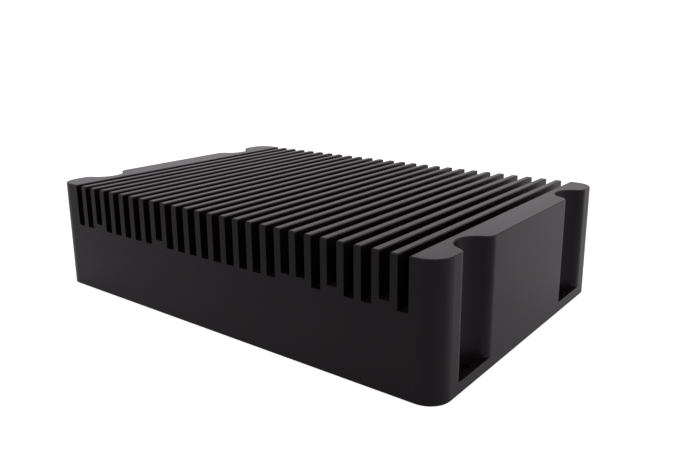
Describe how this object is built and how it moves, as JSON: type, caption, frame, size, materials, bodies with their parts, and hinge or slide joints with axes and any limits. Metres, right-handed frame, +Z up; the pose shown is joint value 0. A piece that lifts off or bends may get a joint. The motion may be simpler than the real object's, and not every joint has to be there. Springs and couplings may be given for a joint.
{
  "type": "fanless industrial computer",
  "caption": "Low box computer whose one-piece black finned aluminium housing is the heat sink, with side pockets for mounting screws and all sockets on the rear face.",
  "frame": {"origin": "middle of the four mounting holes, on the underside", "axes": "+X along the long plain face to the right, +Y from the plain face to the connector face, +Z up through the fins"},
  "size_m": [0.248, 0.1706, 0.059],
  "materials": {
    "anodised_black": "satin black anodised",
    "anodised_cover": "satin black anodised, milled",
    "anodised_plate": "satin black anodised, brushed",
    "black_screw": "black oxide",
    "plated_screw": "bright zinc",
    "plated_nut": "nickel plated brass",
    "circuit_board": "solder mask",
    "card": "solder mask",
    "processor_lid": "nickel plated lid",
    "bare_aluminium": "milled",
    "thermal_pad": "soft silicone",
    "dark_package": "moulded",
    "capacitor_can": "drawn can",
    "cell_steel": "polished",
    "black_moulding": "moulded",
    "white_moulding": "moulded",
    "terminal_moulding": "moulded",
    "connector_shell": "tinned shell",
    "button_metal": "brushed",
    "light_pipe": "clear moulding"
  },
  "bodies": {
    "case": {"battery_holder": "black_moulding", "board_link_plug": "black_moulding", "board_link_socket": "black_moulding", "bottom_cover": "anodised_cover", "capacitors": "capacitor_can", "clock_battery": "cell_steel", "connector_plate": "anodised_plate", "connector_plate_screws": "black_screw", "cover_screws": "black_screw", "display_socket": "connector_shell", "earth_screw": "plated_screw", "earth_washer": "plated_screw", "heat_block": "bare_aluminium", "heat_block_screws": "plated_screw", "housing": "anodised_black", "input_capacitor": "capacitor_can", "input_choke": "dark_package", "mainboard": "circuit_board", "mainboard_screws": "plated_screw", "mainboard_standoffs": "plated_nut", "memory_module": "card", "memory_socket": "black_moulding", "network_jack_left": "connector_shell", "network_jack_right": "connector_shell", "power_board": "circuit_board", "power_board_screws": "plated_screw", "power_board_standoffs": "plated_nut", "power_chokes": "dark_package", "power_regulators": "dark_package", "power_switch": "black_moulding", "power_terminal": "terminal_moulding", "processor": "processor_lid", "processor_pad": "thermal_pad", "regulator_block": "bare_aluminium", "regulator_block_screw": "plated_screw", "regulator_pads": "thermal_pad", "serial_jack_screws": "plated_nut", "serial_port": "connector_shell", "status_lamps": "white_moulding", "status_light_pipes": "light_pipe", "storage_module": "card", "storage_nut": "plated_nut", "storage_screw": "plated_screw", "storage_socket": "black_moulding", "usb_socket_left": "connector_shell", "usb_socket_right": "connector_shell"},
    "button": {"power_button": "button_metal", "switch_plunger": "white_moulding"}
  },
  "joints": [
    {"name": "power_button_press", "type": "slide", "parent": "case", "child": "button", "axis": [0, -1, 0], "range_m": [0, 0.0012], "stiffness_N_per_m": 900}
  ]
}
